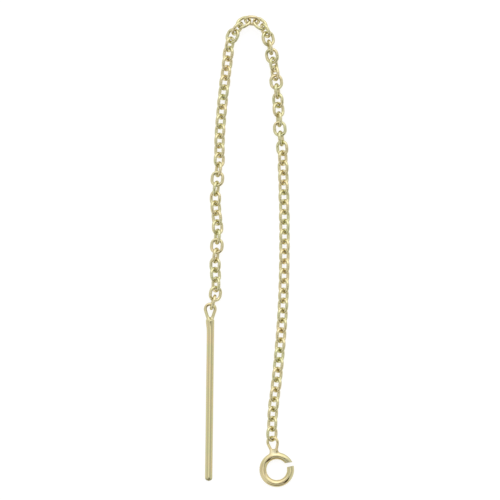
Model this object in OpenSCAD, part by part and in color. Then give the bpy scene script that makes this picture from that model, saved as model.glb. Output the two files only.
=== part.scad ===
// Threader earring: a straight bar that goes through the ear, a fine cable chain,
// and a small open jump ring on the far end of the chain.
// It lies on a flat surface, z = 0, with the chain in one arch. +X is to the right,
// +Y runs from the free ends to the top of the arch, and +Z is up. Millimetres.

/* [Bar] */
// Diameter of the straight bar
bar_d = 0.72; // [0.6:0.02:1]
// Length of the bar, from its soldered end to its tip
bar_len = 16.1; // [8:0.1:40]
// Radius of the rounded edge of the tip
tip_r = 0.28; // [0.1:0.02:0.3]
// Direction of the bar on the surface, 90 is straight up the Y axis
bar_heading = 89.3; // [84:0.1:94]

/* [Bar eye] */
// Diameter of the wire of the bar's eye
bar_eye_wire = 0.28; // [0.24:0.01:0.3]
// Radius of the round top of the bar's eye, to the middle of the wire
bar_eye_r = 0.49; // [0.44:0.01:0.6]
// Height of the centre of that round above the end of the bar
bar_eye_rise = 1.05; // [0.9:0.05:1.6]
// Distance between the two feet of the bar's eye, middle to middle
bar_eye_feet = 0.35; // [0.3:0.01:0.4]
// How far the bar's eye is soldered off the middle of the bar
bar_eye_shift = 0.05; // [0:0.01:0.08]
// Where the first link hangs on the bar's eye, as an angle from the top of the eye
bar_eye_hang = 26; // [0:1:28]

/* [Chain] */
// Number of links between the two eyes
links = 76; // [60:1:80]
// Diameter of the wire of the links
link_wire = 0.27; // [0.22:0.01:0.28]
// Outer width of a link
link_w = 1.36; // [1.3:0.01:1.5]
// Length of the straight sides of a link, between its round ends
link_side = 0.28; // [0.2:0.01:0.5]
// Play between the wires of two links where the chain is drawn straight
link_gap = 0.11; // [0.11:0.01:0.14]

/* [Ring] */
// Outer diameter of the open jump ring
ring_d = 3.46; // [3:0.02:6]
// Diameter of the wire of the jump ring
ring_wire = 0.69; // [0.6:0.01:0.9]
// Angle round the ring, from its eye to the outer corner of the near end of the cut
ring_cut_at = 73; // [60:1:180]
// How much sooner the inner corner of that end comes
ring_cut_slant = 12; // [0:1:20]
// Width of the cut on the outside of the ring, as an angle
ring_cut_w = 12; // [6:1:30]
// Direction from the ring's eye to the middle of the ring, -90 is straight down the Y axis
ring_heading = -81.5; // [-94:0.5:-78]

/* [Ring eye] */
// Diameter of the wire of the ring's eye
ring_eye_wire = 0.28; // [0.24:0.01:0.3]
// Radius of the round top of the ring's eye, to the middle of the wire
ring_eye_r = 0.55; // [0.44:0.01:0.6]
// Height of the centre of that round above the outside of the ring
ring_eye_rise = 1.1; // [0.9:0.05:1.4]
// Distance between the two feet of the ring's eye, middle to middle
ring_eye_feet = 0.4; // [0.3:0.01:0.5]
// How far the ring's eye is turned from flat, about the line to the middle of the ring
ring_eye_turn = -28; // [-40:1:-25]

/* [Solder] */
// Radius of the foot of solder under each eye, at the metal it stands on
solder_r = 0.3; // [0.26:0.01:0.33]
// Radius of the top of that foot
solder_top_r = 0.2; // [0.1:0.01:0.25]
// Height of that foot above the metal
solder_h = 0.25; // [0.15:0.01:0.4]

/* [Hidden] */
$fn = 48;

GOLD = [0.80, 0.74, 0.50];

// Radius of the round ends of a link, to the middle of its wire
link_r = (link_w - link_wire) / 2;
// Distance from link to link where the chain is drawn straight
pitch = link_w + link_side - 2 * link_wire - link_gap;
// The chain's two nodes meet after this link, at the top of the arch
top_link = 32;

// Route of the chain, from the bar to the ring. Each row is a link near a bend or a twist:
// its number, its place in link pitches from the middle of the object, and how far the
// chain has turned about its own length by then.
ROUTE = [
    // link, x, y, turn
    [1, -3.60, -5.10, -85],
    [2, -3.37, -4.24, -70],
    [3, -3.32, -3.30, -56],
    [5, -3.40, -1.35, -38],
    [7, -3.22, 0.58, 0],
    [9, -3.15, 2.47, 38],
    [12, -3.37, 5.38, 52],
    [14, -3.17, 7.35, 90],
    [16, -2.98, 9.27, 130],
    [18, -2.95, 11.20, 135],
    [22, -2.65, 15.12, 135],
    [26, -2.18, 19.01, 135],
    [28, -1.92, 20.92, 145],
    [29, -1.64, 21.78, 158],
    [30, -1.15, 22.52, 150],
    [31, -0.52, 23.15, 142],
    [32, 0.33, 23.33, 140],
    [33, 1.13, 23.00, 143],
    [34, 1.67, 22.31, 150],
    [36, 2.14, 20.62, 169],
    [38, 2.51, 18.89, 213],
    [40, 2.77, 17.12, 262],
    [42, 2.94, 15.27, 308],
    [45, 3.13, 12.40, 360],
    [47, 3.37, 10.45, 390],
    [50, 3.49, 7.49, 405],
    [57, 3.60, 0.54, 405],
    [63, 3.45, -5.43, 405],
    [70, 2.88, -12.41, 405],
    [74, 2.42, -16.37, 405],
    [76, 2.33, -18.37, 412],
];
LAST = len(ROUTE) - 1;

// Smooth curve through the rows of the route, for any link number u
function row_before(u, k = 0) =
    k >= LAST - 1 || ROUTE[k + 1][0] > u ? k : row_before(u, k + 1);
function span(k) = ROUTE[k + 1][0] - ROUTE[k][0];
function secant(k) = (ROUTE[k + 1] - ROUTE[k]) / span(k);
function slope(k) =
    k == 0 ? secant(0) :
    k == LAST ? secant(LAST - 1) :
    (secant(k - 1) * span(k) + secant(k) * span(k - 1)) / (span(k - 1) + span(k));
function between(k, t) =
    (2 * t ^ 3 - 3 * t ^ 2 + 1) * ROUTE[k] + (t ^ 3 - 2 * t ^ 2 + t) * span(k) * slope(k)
    + (3 * t ^ 2 - 2 * t ^ 3) * ROUTE[k + 1] + (t ^ 3 - t ^ 2) * span(k) * slope(k + 1);
function route(u) =
    u <= ROUTE[0][0] ? ROUTE[0] + slope(0) * (u - ROUTE[0][0]) :
    u >= ROUTE[LAST][0] ? ROUTE[LAST] + slope(LAST) * (u - ROUTE[LAST][0]) :
    let (k = row_before(u)) between(k, (u - ROUTE[k][0]) / span(k));

// The chain lies on the lower edges of its links, so its middle line is highest where
// they stand on edge or lie flat
function chain_point(u) =
    let (at = route(u), half = link_r * max(abs(sin(at[3])), abs(cos(at[3]))))
        [at[1] * pitch, at[2] * pitch, half + link_wire / 2];

// Direction, turn and middle of link i. Each link is a quarter turn on from the last, and
// one that slopes is lifted until its lower end lies on the surface too.
function link_dir(i) = let (d = chain_point(i + 0.5) - chain_point(i - 0.5)) d / norm(d);
function link_turn(i) = route(i)[3] + (i % 2 == 0 ? 90 : 0);
function link_at(i) =
    let (
        at = chain_point(i),
        tilt = asin(link_dir(i).z),
        edge = [sin(tilt), cos(tilt) * sin(link_turn(i))],
        low = link_side / 2 * abs(edge.x) + link_r * norm(edge) + link_wire / 2
    )
    [at.x, at.y, max(at.z, low)];

// Room for the wire of an eye inside the round end of a link, off the middle of that round
function eye_room(wire) = link_r - (link_wire + wire) / 2 - link_gap;
// Share of that room that an eye takes up along the link
HOOK = 0.8;

// Link 1 stands on edge through the bar's eye, which lies lower than the link's middle
bar_eye_drop = 0.45 * eye_room(bar_eye_wire);
bar_hook = link_side / 2 + HOOK * sqrt(eye_room(bar_eye_wire) ^ 2 - bar_eye_drop ^ 2);
bar_eye_at = link_at(1) - bar_hook * link_dir(1) - [0, 0, bar_eye_drop];
// Place on the bar where link 1 crosses its eye, from the soldered end of the bar
bar_hang_x = bar_eye_r * sin(bar_eye_hang) - bar_eye_shift;
bar_hang_y = bar_eye_r * cos(bar_eye_hang) + bar_eye_rise;
// The bar slopes down from its eye to its tip, which lies on the surface
bar_slope = asin((bar_eye_at.z - bar_d / 2) / (bar_len + bar_hang_y));

// The ring lies flat, and its eye tips up to the middle of the last link
ring_hook = link_side / 2 + HOOK * eye_room(ring_eye_wire);
ring_eye_at = link_at(links) + ring_hook * link_dir(links);
ring_eye_len = ring_eye_rise + ring_eye_r;
ring_eye_tip = asin((ring_eye_at.z - ring_wire / 2) / ring_eye_len);
ring_reach = ring_d / 2 + ring_eye_len * cos(ring_eye_tip);
ring_x = ring_eye_at.x + ring_reach * cos(ring_heading);
ring_y = ring_eye_at.y + ring_reach * sin(ring_heading);

// Oval link of round wire, flat in the XY plane with its length along X
module link() {
    for (end = [-1, 1]) {
        translate([end * link_side / 2, 0, 0])
            rotate([0, 0, -90 * end])
                rotate_extrude(angle = 180) translate([link_r, 0]) circle(d = link_wire);
        translate([-link_side / 2, end * link_r, 0])
            rotate([0, 90, 0]) cylinder(d = link_wire, h = link_side);
    }
}

module chain(first, last) {
    for (i = [first:last]) {
        dir = link_dir(i);
        translate(link_at(i))
            rotate([link_turn(i), -asin(dir.z), atan2(dir.y, dir.x)]) link();
    }
}

// Eye of round wire in the XY plane: a round of radius r about [0, rise], and two straight
// legs that close in to the feet on the X axis. Legs and solder run on into the metal.
module eye(wire, r, rise, feet) {
    sink = wire / 2;
    lean = asin(r / norm([rise, feet / 2])) - atan2(feet / 2, rise);
    leg = (rise - r * sin(lean)) / cos(lean) + sink;
    translate([0, rise, 0]) {
        rotate([0, 0, -lean])
            rotate_extrude(angle = 180 + 2 * lean) translate([r, 0]) circle(d = wire);
        for (side = [0, 1])
            mirror([side, 0, 0])
                rotate([0, 0, -lean]) translate([r, 0, 0])
                    rotate([90, 0, 0]) cylinder(d = wire, h = leg);
    }
    translate([0, -sink, 0])
        rotate([-90, 0, 0]) cylinder(r1 = solder_r, r2 = solder_top_r, h = sink + solder_h);
}

// Half outline of the bar, with its tip at the top
module bar_outline() {
    square([bar_d / 2, bar_len - tip_r]);
    square([bar_d / 2 - tip_r, bar_len]);
    intersection() {
        translate([bar_d / 2 - tip_r, bar_len - tip_r]) circle(r = tip_r);
        square([bar_d / 2, bar_len]);
    }
}

// Bar down the Y axis from its soldered end at the origin, with its eye on that end
module bar_with_eye() {
    rotate([90, 0, 0]) rotate_extrude() bar_outline();
    translate([-bar_eye_shift, 0, 0])
        eye(bar_eye_wire, bar_eye_r, bar_eye_rise, bar_eye_feet);
}

module threader_bar() {
    color(GOLD)
        translate(bar_eye_at)
            rotate([bar_slope, 0, bar_heading - 90])
                translate([-bar_hang_x, -bar_hang_y, 0]) bar_with_eye();
}

module chain_bar_side() {
    color(GOLD) chain(1, top_link);
}

module chain_ring_side() {
    color(GOLD) chain(top_link + 1, links);
}

// Point in the ring's plane, at an angle clockwise from its eye
function around(r, angle) = r * [sin(angle), cos(angle)];

// Wedge that cuts the ring open. It runs on past the wire, inside and outside.
module ring_cut() {
    corner_out = around(ring_d / 2, ring_cut_at);
    corner_in = around(ring_d / 2 - ring_wire, ring_cut_at - ring_cut_slant);
    far_end = ring_cut_at + ring_cut_w;
    translate([0, 0, -ring_wire])
        linear_extrude(2 * ring_wire)
            polygon([
                2 * corner_in - corner_out,
                2 * corner_out - corner_in,
                around(ring_d / 2 + ring_wire, far_end),
                around(ring_d / 2 - 2 * ring_wire, far_end),
            ]);
}

// Ring about the origin, flat, with its eye towards +Y
module ring_with_eye() {
    difference() {
        rotate_extrude() translate([(ring_d - ring_wire) / 2, 0]) circle(d = ring_wire);
        ring_cut();
    }
    translate([0, ring_d / 2, 0])
        rotate([ring_eye_tip, 0, 0]) rotate([0, ring_eye_turn, 0])
            eye(ring_eye_wire, ring_eye_r, ring_eye_rise, ring_eye_feet);
}

module open_ring() {
    color(GOLD)
        translate([ring_x, ring_y, ring_wire / 2])
            rotate([0, 0, ring_heading + 90]) ring_with_eye();
}

threader_bar();
chain_bar_side();
chain_ring_side();
open_ring();
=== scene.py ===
import math
import bmesh
import bpy
from mathutils import Matrix, Vector


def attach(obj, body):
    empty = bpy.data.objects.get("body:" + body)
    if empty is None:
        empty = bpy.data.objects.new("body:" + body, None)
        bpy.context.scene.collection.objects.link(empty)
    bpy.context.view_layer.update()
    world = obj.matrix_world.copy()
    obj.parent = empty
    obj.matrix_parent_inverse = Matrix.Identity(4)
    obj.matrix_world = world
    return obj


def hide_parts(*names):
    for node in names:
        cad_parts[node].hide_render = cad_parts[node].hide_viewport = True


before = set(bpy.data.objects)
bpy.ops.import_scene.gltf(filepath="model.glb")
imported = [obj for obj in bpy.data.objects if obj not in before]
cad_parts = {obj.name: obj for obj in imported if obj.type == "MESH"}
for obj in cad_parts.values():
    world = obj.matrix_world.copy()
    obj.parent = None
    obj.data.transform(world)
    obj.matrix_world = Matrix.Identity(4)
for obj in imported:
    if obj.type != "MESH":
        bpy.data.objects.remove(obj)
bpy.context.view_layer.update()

# Sizes in millimetres, as in the part's source. The frame is in metres.
MM = 0.001

# Bar and its eye. The first link crosses the eye at an angle off the eye's top, and the eye
# lies lower than that link's middle by a share of the room in the link.
BAR_R = 0.36
BAR_LEN = 16.1
TIP_R = 0.28
BAR_HEADING = 89.3
BAR_EYE_WIRE = 0.28
BAR_EYE_R = 0.49
BAR_EYE_RISE = 1.05
BAR_EYE_FEET = 0.35
BAR_EYE_SHIFT = 0.05
BAR_EYE_HANG = 26
BAR_EYE_DROP = 0.45

# Chain. Its links are placed as the solids are. An eye takes up a share of the room inside
# the round end of the link that hangs in it.
LINKS = 76
TOP_LINK = 32
LINK_WIRE = 0.27
LINK_W = 1.36
LINK_SIDE = 0.28
LINK_GAP = 0.11
LINK_R = (LINK_W - LINK_WIRE) / 2
PITCH = LINK_W + LINK_SIDE - 2 * LINK_WIRE - LINK_GAP
HOOK = 0.8

# Ring and its eye. Angles round the ring are clockwise from the eye, in degrees. The ring
# starts at the far end of its cut, and its near end comes after a full turn.
RING_D = 3.46
RING_WIRE = 0.69
RING_CUT_AT = 73
RING_CUT_SLANT = 12
RING_CUT_W = 12
RING_CUT_NEAR = 360 + RING_CUT_AT - RING_CUT_SLANT
RING_HEADING = -81.5
RING_EYE_WIRE = 0.28
RING_EYE_R = 0.55
RING_EYE_RISE = 1.1
RING_EYE_FEET = 0.4
RING_EYE_TURN = -28

# Route of the chain from the bar to the ring: link, x and y in pitches, turn in degrees
ROUTE = [
    (1, -3.60, -5.10, -85),
    (2, -3.37, -4.24, -70),
    (3, -3.32, -3.30, -56),
    (5, -3.40, -1.35, -38),
    (7, -3.22, 0.58, 0),
    (9, -3.15, 2.47, 38),
    (12, -3.37, 5.38, 52),
    (14, -3.17, 7.35, 90),
    (16, -2.98, 9.27, 130),
    (18, -2.95, 11.20, 135),
    (22, -2.65, 15.12, 135),
    (26, -2.18, 19.01, 135),
    (28, -1.92, 20.92, 145),
    (29, -1.64, 21.78, 158),
    (30, -1.15, 22.52, 150),
    (31, -0.52, 23.15, 142),
    (32, 0.33, 23.33, 140),
    (33, 1.13, 23.00, 143),
    (34, 1.67, 22.31, 150),
    (36, 2.14, 20.62, 169),
    (38, 2.51, 18.89, 213),
    (40, 2.77, 17.12, 262),
    (42, 2.94, 15.27, 308),
    (45, 3.13, 12.40, 360),
    (47, 3.37, 10.45, 390),
    (50, 3.49, 7.49, 405),
    (57, 3.60, 0.54, 405),
    (63, 3.45, -5.43, 405),
    (70, 2.88, -12.41, 405),
    (74, 2.42, -16.37, 405),
    (76, 2.33, -18.37, 412),
]
LAST = len(ROUTE) - 1

# Real wire of the links and the bar's eye, which fills the play that the solids keep, the
# play that is left along a link, the lift that keeps the thicker wire off the floor, the
# swell of the wire at a link's seam, and the play that the ring's eye gives up
SEEN_WIRE = 0.31
SEEN_PLAY = 0.01
SEEN_LINK_R = (LINK_W - SEEN_WIRE) / 2
SEEN_LINK_SIDE = PITCH + 2 * SEEN_WIRE - LINK_W + SEEN_PLAY
SEEN_LIFT = 0.012
SEAM_SWELL = 0.012
RING_EYE_PLAY = 0.07

# Solder: how far up the legs of each eye it reaches, as a share of the leg, and the run
# down one side of the bar's end, with its thickness, where it thins and where it ends
BAR_SOLDER_UP = 0.2
RING_SOLDER_UP = 0.38
SOLDER_RUN = 0.1
SOLDER_RUN_FROM = 0.4
SOLDER_RUN_TO = 0.95

# Soldered end of the bar, with its burr. Each round: distance up from the end, share of the
# bar's radius and share of the burr.
BAR_BURR = 0.01
BAR_END_ROUNDS = [
    (0.03, 0.8, 0),
    (-0.04, 1, 1),
    (-0.14, 1, 1),
    (-0.3, 1, 0.3),
    (-0.6, 1, 0),
    (-1, 1, 0),
]

# Rest of the bar: how far from each end its plain length starts, and the rounds in it. The
# tip: how far before its rounding the last plain round lies, the degrees from round to
# round, its crown and the flat on the crown.
BAR_PLAIN_FROM = 1
BAR_PLAIN_ROUNDS = 14
TIP_PLAIN = 0.1
TIP_STEP = 18
TIP_CROWN = 0.03
TIP_FLAT_R = 0.04

# Cut of the ring: the degrees before the near end over which it slants and is pinched, the
# share by which its top is pinched, and the sharpness of both cut edges
SLANT_OVER = 24
PINCH_OVER = 22
PINCH = 0.25
CUT_CREASE = 0.8

# Colours of the metal, linear. Each piece changes slowly between two tones, by a noise with
# its features per millimetre and its detail, over a range of the noise.
CHAIN_TONES = ((0.660, 0.648, 0.380, 1), (0.738, 0.641, 0.390, 1))
BAR_TONES = ((0.645, 0.612, 0.345, 1), (0.715, 0.602, 0.355, 1))
RING_TONES = ((0.655, 0.615, 0.345, 1), (0.728, 0.612, 0.352, 1))
GOLD_EDGE = (0.55, 0.50, 0.36, 1)
TONE_NOISE = (0.7, 2)
TONE_RANGE = (0.35, 0.65)

# Roughness of the metal, and its bumps: waves left by polishing and fine marks. Noises are
# given by features per millimetre and detail, and bumps also by strength and depth.
ROUGH_NOISE = (9, 5, 0.6)
ROUGH_RANGE = (0.3, 0.7)
ROUGH_LOW = 0.05
ROUGH_HIGH = 0.12
WAVES = (1.6, 1, 0.35, 0.02)
MARKS = (14, 3, 0.12, 0.004)

# Spots of rougher metal: solder, the tip of the bar and the sawn end of the ring. The tip's
# spot is also much darker: painted shade on the bar's end, standing in for a dark reflection
# there.
# Radius where each is full and where it ends, its colour and how much rougher it is.
BAR_SOLDER = (0.2, 0.5, (0.66, 0.61, 0.38, 1), 0.24)
RING_SOLDER = (0.2, 0.5, (0.76, 0.71, 0.48, 1), 0.32)
# Tip: colour darkened as painted shade on the end of the bar, and a little rougher
TIP_PAINTED_SHADE = (0.34, 0.52, (0.36, 0.34, 0.19, 1), 0.15)
SAWN_END = (0.25, 0.75, (0.60, 0.56, 0.34, 1), 0.30)

# Studio: the floor, and the camera straight overhead, with the width of floor that it sees.
# In metres, but for the sensor, which is in millimetres.
FLOOR_SIZE = 4
FLOOR_GREY = (0.25, 0.25, 0.25, 1)
FLOOR_ROUGH = 0.9
FLOOR_GLOW = 0.84
CAMERA_AT = (0.00012, 0.00017, 0.6)
CAMERA_SENSOR = 36
CAMERA_SEES = 0.05

# Light tent. Each patch of its wall: heading from X and angle from overhead of its middle,
# radius where it is full and where it ends, in degrees, and its gain in light.
TENT_LIGHT = 0.83
TENT_DARKEST = 0.06
TENT_WHITE = (1, 1, 1, 1)
TENT_BROWN = (1, 0.6, 0.2, 1)
TENT_PATCHES = [
    (0, 0, 6, 20, 0.32),
    (80, 72, 20, 65, 0.60),
    (88, 38, 6, 18, 0.65),
    (40, 40, 6, 16, 0.35),
    (140, 40, 6, 16, 0.35),
    (-135, 40, 10, 40, 0.12),
    (-90, 84, 18, 48, -0.58),
    (0, 42, 8, 24, -0.22),
    (180, 36, 5, 20, -0.17),
    (-49, 18, 4, 10, -1.20),
    (-50, 35, 5, 12, -0.80),
    (-51, 54, 4, 12, -1.00),
    (-76, 16, 5, 12, -0.70),
    (-102, 16, 5, 12, -0.70),
    (131, 9, 4, 8, -0.70),
]

# Mesh detail. The rounds of the ring lie at whole steps, in degrees, and none of them near
# the cut, where a close pair at each end keeps the edge sharp. The rounds of an eye's legs
# lie at shares of the leg.
RING_SIDES = 12
RING_STEP = 7.5
RING_CUT_CLEAR = 3
RING_CUT_STEP = 1.2
LINK_SIDES = 16
LINK_ARC_STEPS = 22
LINK_SIDE_STEPS = 6
EYE_SIDES = 8
EYE_STEPS = 12
EYE_LEG_ROUNDS = (0.45, 0.75)
SMOOTHING = 3


def sin(degrees):
    return math.sin(math.radians(degrees))


def cos(degrees):
    return math.cos(math.radians(degrees))


def turned(x=0, y=0, z=0):
    """Rotation about X, then Y, then Z, in degrees."""
    return (
        Matrix.Rotation(math.radians(z), 4, "Z")
        @ Matrix.Rotation(math.radians(y), 4, "Y")
        @ Matrix.Rotation(math.radians(x), 4, "X")
    )


# Route: a smooth curve through the rows, by link number


def row(k):
    return Vector(ROUTE[k])


def span(k):
    return ROUTE[k + 1][0] - ROUTE[k][0]


def secant(k):
    return (row(k + 1) - row(k)) / span(k)


def slope(k):
    if k == 0:
        return secant(0)
    if k == LAST:
        return secant(LAST - 1)
    before, after = span(k - 1), span(k)
    return (secant(k - 1) * after + secant(k) * before) / (before + after)


def route(u):
    """Place and turn of the chain at any link number, on a smooth curve through the rows."""
    if u <= ROUTE[0][0]:
        return row(0) + slope(0) * (u - ROUTE[0][0])
    if u >= ROUTE[LAST][0]:
        return row(LAST) + slope(LAST) * (u - ROUTE[LAST][0])
    k = max(i for i in range(LAST) if ROUTE[i][0] <= u)
    t = (u - ROUTE[k][0]) / span(k)
    return (
        (2 * t**3 - 3 * t**2 + 1) * row(k)
        + (t**3 - 2 * t**2 + t) * span(k) * slope(k)
        + (3 * t**2 - 2 * t**3) * row(k + 1)
        + (t**3 - t**2) * span(k) * slope(k + 1)
    )


def chain_point(u):
    at = route(u)
    half = LINK_R * max(abs(sin(at[3])), abs(cos(at[3])))
    return Vector((at[1] * PITCH, at[2] * PITCH, half + LINK_WIRE / 2))


def link_dir(i):
    return (chain_point(i + 0.5) - chain_point(i - 0.5)).normalized()


def link_turn(i):
    return route(i)[3] + (90 if i % 2 == 0 else 0)


def link_at(i):
    """Middle of link i, high enough for its lower end to lie on the surface."""
    at = chain_point(i)
    tilt = math.degrees(math.asin(link_dir(i).z))
    along, across = sin(tilt), cos(tilt) * sin(link_turn(i))
    low = LINK_SIDE / 2 * abs(along) + LINK_R * math.hypot(along, across) + LINK_WIRE / 2
    at.z = max(at.z, low)
    return at


def link_place(i):
    """Matrix that takes a link lying flat along X to its place in the chain."""
    way = link_dir(i)
    tilt = math.degrees(math.asin(way.z))
    heading = math.degrees(math.atan2(way.y, way.x))
    return Matrix.Translation(link_at(i)) @ turned(link_turn(i), -tilt, heading)


def eye_room(wire):
    return LINK_R - (LINK_WIRE + wire) / 2 - LINK_GAP


def bar_place():
    """Matrix that takes the bar, soldered end at the origin and tip down Y, to its place."""
    room = eye_room(BAR_EYE_WIRE)
    drop = BAR_EYE_DROP * room
    hook = LINK_SIDE / 2 + HOOK * math.sqrt(room**2 - drop**2)
    eye_at = link_at(1) - hook * link_dir(1) - Vector((0, 0, drop))
    hang_x = BAR_EYE_R * sin(BAR_EYE_HANG) - BAR_EYE_SHIFT
    hang_y = BAR_EYE_R * cos(BAR_EYE_HANG) + BAR_EYE_RISE
    slope_down = math.degrees(math.asin((eye_at.z - BAR_R) / (BAR_LEN + hang_y)))
    return (
        Matrix.Translation(eye_at)
        @ turned(slope_down, 0, BAR_HEADING - 90)
        @ Matrix.Translation((-hang_x, -hang_y, 0))
    )


def ring_places():
    """Matrix of the ring, flat with its eye towards Y, and that of the eye on the ring."""
    hook = LINK_SIDE / 2 + HOOK * eye_room(RING_EYE_WIRE)
    eye_at = link_at(LINKS) + hook * link_dir(LINKS)
    eye_len = RING_EYE_RISE + RING_EYE_R
    tip = math.degrees(math.asin((eye_at.z - RING_WIRE / 2) / eye_len))
    reach = RING_D / 2 + eye_len * cos(tip)
    middle = (
        eye_at.x + reach * cos(RING_HEADING),
        eye_at.y + reach * sin(RING_HEADING),
        RING_WIRE / 2,
    )
    ring = Matrix.Translation(middle) @ turned(z=RING_HEADING + 90)
    eye = Matrix.Translation((0, RING_D / 2, 0)) @ turned(x=tip) @ turned(y=RING_EYE_TURN)
    return ring, eye


# Meshes


def spread(sides):
    """How much larger a cage of so many sides is than the round that it is smoothed to."""
    return 3 / (2 + cos(360 / sides))


def circle(bm, place, radius, sides):
    """Ring of points about a frame's X axis, in its YZ plane."""
    points = []
    for j in range(sides):
        angle = 360 * j / sides
        at = Vector((0, radius * cos(angle), radius * sin(angle)))
        points.append(bm.verts.new(place @ at))
    return points


def bridge(bm, low, high):
    n = len(low)
    for j in range(n):
        bm.faces.new((low[j], low[(j + 1) % n], high[(j + 1) % n], high[j]))


def piece(name, bm, node, material, smoothing=0):
    """Object from a mesh in millimetres, riding on the part in place of a node."""
    bmesh.ops.recalc_face_normals(bm, faces=bm.faces)
    bmesh.ops.translate(bm, vec=(0, 0, SEEN_LIFT), verts=bm.verts)
    bmesh.ops.scale(bm, vec=(MM, MM, MM), verts=bm.verts)
    mesh = bpy.data.meshes.new(name)
    bm.to_mesh(mesh)
    bm.free()
    mesh.shade_smooth()
    mesh.materials.append(material)
    obj = bpy.data.objects.new(name, mesh)
    bpy.context.scene.collection.objects.link(obj)
    if smoothing:
        modifier = obj.modifiers.new("smoothing", "SUBSURF")
        modifier.levels = modifier.render_levels = smoothing
    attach(obj, "root")
    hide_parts(node)
    return obj


def along(points):
    """Frames at the points of a flat closed or open path in the XY plane: X runs along it."""
    frames = []
    for at, way in points:
        side = Vector((0, 0, 1)).cross(way)
        rows = (way, side, Vector((0, 0, 1)))
        frames.append(Matrix.Translation(at) @ Matrix(rows).transposed().to_4x4())
    return frames


def link_path():
    """Middle line of a link, flat in the XY plane: two round ends and two straight sides."""
    path = []
    for end in (1, -1):
        for step in range(LINK_ARC_STEPS):
            angle = -90 * end + 180 * step / LINK_ARC_STEPS
            way = Vector((-sin(angle), cos(angle), 0))
            x = end * SEEN_LINK_SIDE / 2 + SEEN_LINK_R * cos(angle)
            path.append((Vector((x, SEEN_LINK_R * sin(angle), 0)), way))
        for step in range(LINK_SIDE_STEPS):
            way = Vector((-end, 0, 0))
            x = end * SEEN_LINK_SIDE * (0.5 - step / LINK_SIDE_STEPS)
            path.append((Vector((x, end * SEEN_LINK_R, 0)), way))
    return path


def link_radii(upper_side_first):
    """Radius of the wire at each point of a link, thicker at the seam in its upper side."""
    middle = LINK_ARC_STEPS + LINK_SIDE_STEPS // 2
    if not upper_side_first:
        middle += LINK_ARC_STEPS + LINK_SIDE_STEPS
    return [
        SEEN_WIRE / 2 + SEAM_SWELL * max(0, 1 - abs(k - middle) / 2)
        for k in range(2 * (LINK_ARC_STEPS + LINK_SIDE_STEPS))
    ]


def make_chain(name, node, first, last, material):
    bm = bmesh.new()
    frames = along(link_path())
    for i in range(first, last + 1):
        place = link_place(i)
        radii = link_radii(sin(link_turn(i)) > 0)
        rings = [circle(bm, place @ f, r, LINK_SIDES) for f, r in zip(frames, radii)]
        for k, ring in enumerate(rings):
            bridge(bm, ring, rings[(k + 1) % len(rings)])
    return piece(name, bm, node, material)


def eye_path(r, rise, feet, foot_up):
    """Middle line of an eye in the XY plane, from its left foot over the top to its right."""
    lean = math.degrees(math.asin(r / math.hypot(rise, feet / 2)) - math.atan2(feet / 2, rise))
    leg = (rise - r * sin(lean)) / cos(lean)
    sweep = 180 + 2 * lean
    out = r * spread(360 / (sweep / EYE_STEPS))
    left = Vector((-sin(lean), cos(lean), 0))
    right = Vector((-sin(lean), -cos(lean), 0))
    shoulder = Vector((-r * cos(lean), rise - r * sin(lean), 0))
    shares = (foot_up, *EYE_LEG_ROUNDS)
    path = []
    for share in shares:
        path.append((shoulder - left * leg * (1 - share), left))
    for step in range(EYE_STEPS + 1):
        angle = 180 + lean - sweep * step / EYE_STEPS
        way = Vector((sin(angle), -cos(angle), 0))
        path.append((Vector((out * cos(angle), rise + out * sin(angle), 0)), way))
    for share in reversed(shares):
        at = Vector((-shoulder.x, shoulder.y, 0)) + right * leg * (1 - share)
        path.append((at, right))
    return path


def eye_legs(bm, place, wire, r, rise, feet, foot_up):
    """Wire of an eye above its solder. Returns the rounds of points at its two feet."""
    frames = along(eye_path(r, rise, feet, foot_up))
    radius = wire / 2 * spread(EYE_SIDES)
    rings = [circle(bm, place @ f, radius, EYE_SIDES) for f in frames]
    for k in range(len(rings) - 1):
        bridge(bm, rings[k], rings[k + 1])
    return rings[0], rings[-1]


def foot_outline(left, right):
    """Outline round both feet of an eye, anticlockwise from the inner side of the left foot."""
    return [left[j] for j in (3, 2, 1, 0, 7, 6, 5)] + [right[j] for j in (5, 6, 7, 0, 1, 2, 3)]


def web(bm, left, right):
    """Solder between the facing sides of the two feet of an eye."""
    for a, b in ((3, 4), (4, 5)):
        bm.faces.new((left[a], right[a], right[b], left[b]))


def bar_profile():
    """Distance up from the soldered end and radius of each round of the bar's cage."""
    rounds = [(up, share * BAR_R + burr * BAR_BURR) for up, share, burr in BAR_END_ROUNDS]
    plain = BAR_LEN - 2 * BAR_PLAIN_FROM
    for k in range(1, BAR_PLAIN_ROUNDS + 1):
        rounds.append((-BAR_PLAIN_FROM - plain * k / BAR_PLAIN_ROUNDS, BAR_R))
    rounds.append((TIP_R - BAR_LEN + TIP_PLAIN, BAR_R))
    for angle in range(0, 91, TIP_STEP):
        rounds.append((TIP_R - BAR_LEN - TIP_R * sin(angle), BAR_R - TIP_R * (1 - cos(angle))))
    rounds.append((-BAR_LEN - TIP_CROWN, TIP_FLAT_R))
    return rounds


def solder_run(down):
    """How far the solder stands out from the side of the bar, so far down from its end."""
    share = (SOLDER_RUN_TO - down) / (SOLDER_RUN_TO - SOLDER_RUN_FROM)
    return SOLDER_RUN * min(1, max(0, share))


def make_bar(material):
    bm = bmesh.new()
    place = bar_place()
    eye = place @ Matrix.Translation((-BAR_EYE_SHIFT, 0, 0))
    left, right = eye_legs(
        bm, eye, SEEN_WIRE, BAR_EYE_R, BAR_EYE_RISE, BAR_EYE_FEET, BAR_SOLDER_UP
    )
    web(bm, left, right)
    upper = foot_outline(left, right)
    sides = len(upper)
    for y, radius in bar_profile():
        lower = []
        for j in range(sides):
            angle = 90 + 360 * (j + 0.5) / sides
            r = (radius + solder_run(-y) * max(0, -cos(angle))) * spread(sides)
            at = Vector((r * cos(angle), y, r * sin(angle)))
            lower.append(bm.verts.new(place @ at))
        bridge(bm, upper, lower)
        upper = lower
    bm.faces.new(upper)
    return piece("bar_polished", bm, "threader_bar", material, SMOOTHING)


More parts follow.
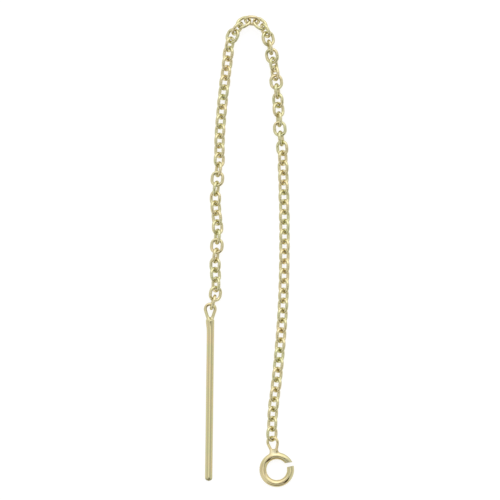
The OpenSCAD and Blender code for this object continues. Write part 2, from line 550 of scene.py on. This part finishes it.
def ring_angles():
    """Angles of the rounds of the ring's cage, clockwise, from the far end of the cut."""
    start = RING_CUT_AT + RING_CUT_W
    first = math.ceil((start + RING_CUT_CLEAR) / RING_STEP)
    last = math.floor((RING_CUT_NEAR - RING_CUT_CLEAR) / RING_STEP)
    inner = [RING_STEP * k for k in range(first, last + 1)]
    near = [RING_CUT_NEAR - RING_CUT_STEP, RING_CUT_NEAR]
    return [start, start + RING_CUT_STEP] + inner + near


def near_end(angle, over):
    """Share from 0 to 1 over the last few degrees before the near end of the ring."""
    return max(0, (angle - (RING_CUT_NEAR - over)) / over)


def ring_point(place, angle, around, pinch=0):
    """Point on the tube of the ring. Near its end the tube's outer side runs further on."""
    tube = RING_WIRE / 2 * spread(RING_SIDES)
    middle = (RING_D - RING_WIRE) / 2
    reach = middle + tube * cos(around)
    share = near_end(angle, SLANT_OVER)
    angle += share * RING_CUT_SLANT * (reach - middle + RING_WIRE / 2) / RING_WIRE
    up = tube * sin(around)
    if up > 0:
        up *= 1 - pinch
    return place @ Vector((reach * sin(angle), reach * cos(angle), up))


def ring_rounds(bm, place):
    rounds = []
    for angle in ring_angles():
        pinch = PINCH * near_end(angle, PINCH_OVER)
        points = []
        for j in range(RING_SIDES):
            at = ring_point(place, angle, 360 * (j + 0.5) / RING_SIDES, pinch)
            points.append(bm.verts.new(at))
        rounds.append(points)
    return rounds


def ring_faces(bm, rounds):
    """Faces of the ring, but for a hole under the solder. Returns the hole's outline, which
    runs anticlockwise from its top, seen with the eye pointing at the viewer."""
    top = ring_angles().index(360)
    up, down = 1, RING_SIDES - 2
    for k in range(len(rounds) - 1):
        for j in range(RING_SIDES):
            if top - 2 <= k < top + 2 and j in (down, RING_SIDES - 1, 0):
                continue
            n = (j + 1) % RING_SIDES
            bm.faces.new((rounds[k][j], rounds[k][n], rounds[k + 1][n], rounds[k + 1][j]))
    hole = [rounds[top + k][up] for k in (0, -1, -2)]
    hole += [rounds[top - 2][j] for j in (0, RING_SIDES - 1)]
    hole += [rounds[top + k][down] for k in (-2, -1, 0, 1, 2)]
    hole += [rounds[top + 2][j] for j in (RING_SIDES - 1, 0)]
    return hole + [rounds[top + k][up] for k in (2, 1)]


def make_ring(material):
    bm = bmesh.new()
    place, eye = ring_places()
    left, right = eye_legs(
        bm,
        place @ eye,
        RING_EYE_WIRE,
        RING_EYE_R,
        RING_EYE_RISE - RING_EYE_PLAY,
        RING_EYE_FEET,
        RING_SOLDER_UP,
    )
    web(bm, left, right)
    rounds = ring_rounds(bm, place)
    outline = foot_outline(left, right)
    bridge(bm, outline[-1:] + outline[:-1], ring_faces(bm, rounds))
    crease = bm.edges.layers.float.new("crease_edge")
    for end in (rounds[0], rounds[-1]):
        for edge in bm.faces.new(end).edges:
            edge[crease] = CUT_CREASE
    return piece("ring_polished", bm, "open_ring", material, SMOOTHING)


# Materials


class Nodes:
    """Shader nodes of one material or world, added and linked in one call."""

    def __init__(self, owner):
        owner.use_nodes = True
        self.tree = owner.node_tree

    def named(self, name):
        return self.tree.nodes[name]

    def add(self, kind, settings=None, **inputs):
        """New node. An input is a value, or another node's output to link."""
        made = self.tree.nodes.new(kind)
        for key, value in (settings or {}).items():
            setattr(made, key, value)
        for key, value in inputs.items():
            self.set(made, key, value)
        return made

    def put(self, socket, value):
        if isinstance(value, bpy.types.NodeSocket):
            self.tree.links.new(value, socket)
        else:
            socket.default_value = value

    def set(self, made, key, value):
        """Set an input by its name, with _ for a space, or by its number, such as i0."""
        by_number = key[0] == "i" and key[1:].isdigit()
        self.put(made.inputs[int(key[1:]) if by_number else key.replace("_", " ")], value)

    def noise(self, per_mm, detail, roughness=0.5):
        """Noise over the object, with its size given as features per millimetre."""
        made = self.add(
            "ShaderNodeTexNoise",
            Vector=self.place,
            Scale=per_mm / MM,
            Detail=detail,
            Roughness=roughness,
        )
        return made.outputs["Fac"]

    def bump(self, per_mm, detail, strength, depth, **inputs):
        """Normal bent by a noise, with the depth of its bumps in millimetres."""
        made = self.add(
            "ShaderNodeBump",
            Strength=strength,
            Distance=depth * MM,
            Height=self.noise(per_mm, detail),
            **inputs,
        )
        return made.outputs["Normal"]

    @property
    def place(self):
        """Place on the object, in metres."""
        return self.add("ShaderNodeTexCoord").outputs["Object"]

    def ranged(self, value, low, high, to_low, to_high, smooth=False):
        """Value carried from one range to another, and held at the ends of the second."""
        kind = {"interpolation_type": "SMOOTHSTEP"} if smooth else {}
        made = self.add(
            "ShaderNodeMapRange",
            kind,
            Value=value,
            From_Min=low,
            From_Max=high,
            To_Min=to_low,
            To_Max=to_high,
        )
        return made.outputs["Result"]

    def mixed(self, share, first, second):
        """Mix of two colours. Its inputs go by number, as each kind of value has its own A."""
        made = self.add("ShaderNodeMix", {"data_type": "RGBA"}, i0=share, i6=first, i7=second)
        return made.outputs[2]

    def maths(self, operation, *values):
        inputs = {f"i{k}": value for k, value in enumerate(values)}
        made = self.add("ShaderNodeMath", {"operation": operation}, **inputs)
        return made.outputs["Value"]

    def vector_maths(self, operation, first, second):
        """Single value worked out from two vectors."""
        made = self.add("ShaderNodeVectorMath", {"operation": operation}, i0=first, i1=second)
        return made.outputs["Value"]


def gold(name, tones, spots=()):
    """Polished pale gold, tumbled smooth, and rougher in some round spots about a point, each
    with its own colour, which can be painted shade.
    """
    material = bpy.data.materials.new(name)
    nodes = Nodes(material)
    shader = nodes.named("Principled BSDF")
    shader.inputs["Metallic"].default_value = 1
    shader.inputs["Specular Tint"].default_value = GOLD_EDGE
    tone = nodes.ranged(nodes.noise(*TONE_NOISE), *TONE_RANGE, 0, 1)
    colour = nodes.mixed(tone, *tones)
    rough = nodes.ranged(nodes.noise(*ROUGH_NOISE), *ROUGH_RANGE, ROUGH_LOW, ROUGH_HIGH)
    for at, (full, end, spot_colour, rougher) in spots:
        off = nodes.vector_maths("DISTANCE", nodes.place, at * MM)
        near = nodes.ranged(off, full * MM, end * MM, 1, 0, smooth=True)
        # A spot's colour can be painted shade, as the dark one at the bar's tip is
        colour = nodes.mixed(near, colour, spot_colour)
        rough = nodes.maths("MULTIPLY_ADD", near, rougher, rough)
    nodes.set(shader, "Base_Color", colour)
    nodes.set(shader, "Roughness", rough)
    waves = nodes.bump(*WAVES)
    marks = nodes.bump(*MARKS, Normal=waves)
    nodes.set(shader, "Normal", marks)
    return material


# Studio


def make_floor():
    bpy.ops.mesh.primitive_plane_add(size=FLOOR_SIZE)
    floor = bpy.context.object
    floor.name = "floor"
    material = bpy.data.materials.new("floor")
    nodes = Nodes(material)
    shader = nodes.named("Principled BSDF")
    shader.inputs["Base Color"].default_value = FLOOR_GREY
    shader.inputs["Roughness"].default_value = FLOOR_ROUGH
    shader.inputs["Specular IOR Level"].default_value = 0
    shader.inputs["Emission Color"].default_value = (1, 1, 1, 1)
    shader.inputs["Emission Strength"].default_value = FLOOR_GLOW
    floor.data.materials.append(material)


def make_tent():
    """Even soft light, brighter or darker in the patches, and browner where it is darkest."""
    world = bpy.data.worlds.new("tent")
    bpy.context.scene.world = world
    nodes = Nodes(world)
    way = nodes.add("ShaderNodeTexCoord").outputs["Generated"]
    total = TENT_LIGHT
    for heading, off_top, inner, outer, gain in TENT_PATCHES:
        middle = (sin(off_top) * cos(heading), sin(off_top) * sin(heading), cos(off_top))
        dot = nodes.vector_maths("DOT_PRODUCT", way, middle)
        patch = nodes.ranged(dot, cos(outer), cos(inner), 0, gain, smooth=True)
        total = nodes.maths("ADD", total, patch)
    total = nodes.maths("MAXIMUM", total, TENT_DARKEST)
    light = nodes.ranged(total, TENT_DARKEST, TENT_LIGHT / 2, 0, 1)
    background = nodes.named("Background")
    nodes.set(background, "Color", nodes.mixed(light, TENT_BROWN, TENT_WHITE))
    nodes.set(background, "Strength", total)


def make_camera():
    data = bpy.data.cameras.new("camera")
    data.sensor_width = CAMERA_SENSOR
    data.lens = CAMERA_SENSOR * CAMERA_AT[2] / CAMERA_SEES
    camera = bpy.data.objects.new("camera", data)
    bpy.context.scene.collection.objects.link(camera)
    camera.location = CAMERA_AT
    bpy.context.scene.camera = camera


make_camera()
make_tent()
make_floor()
bar_at = bar_place()
bar_tip = bar_at @ Vector((0, -BAR_LEN, 0))
# The spot at the tip paints shade onto the bar's end
make_bar(gold("bar_gold", BAR_TONES, [(bar_at.translation, BAR_SOLDER), (bar_tip, TIP_PAINTED_SHADE)]))
ring_at, ring_eye_at = ring_places()
ring_foot = (ring_at @ ring_eye_at).translation
ring_end = ring_point(ring_at, RING_CUT_NEAR, 90)
make_ring(gold("ring_gold", RING_TONES, [(ring_foot, RING_SOLDER), (ring_end, SAWN_END)]))
chain_gold = gold("chain_gold", CHAIN_TONES)
make_chain("chain_bar_side_polished", "chain_bar_side", 1, TOP_LINK, chain_gold)
make_chain("chain_ring_side_polished", "chain_ring_side", TOP_LINK + 1, LINKS, chain_gold)
bpy.context.scene.view_settings.view_transform = "Standard"
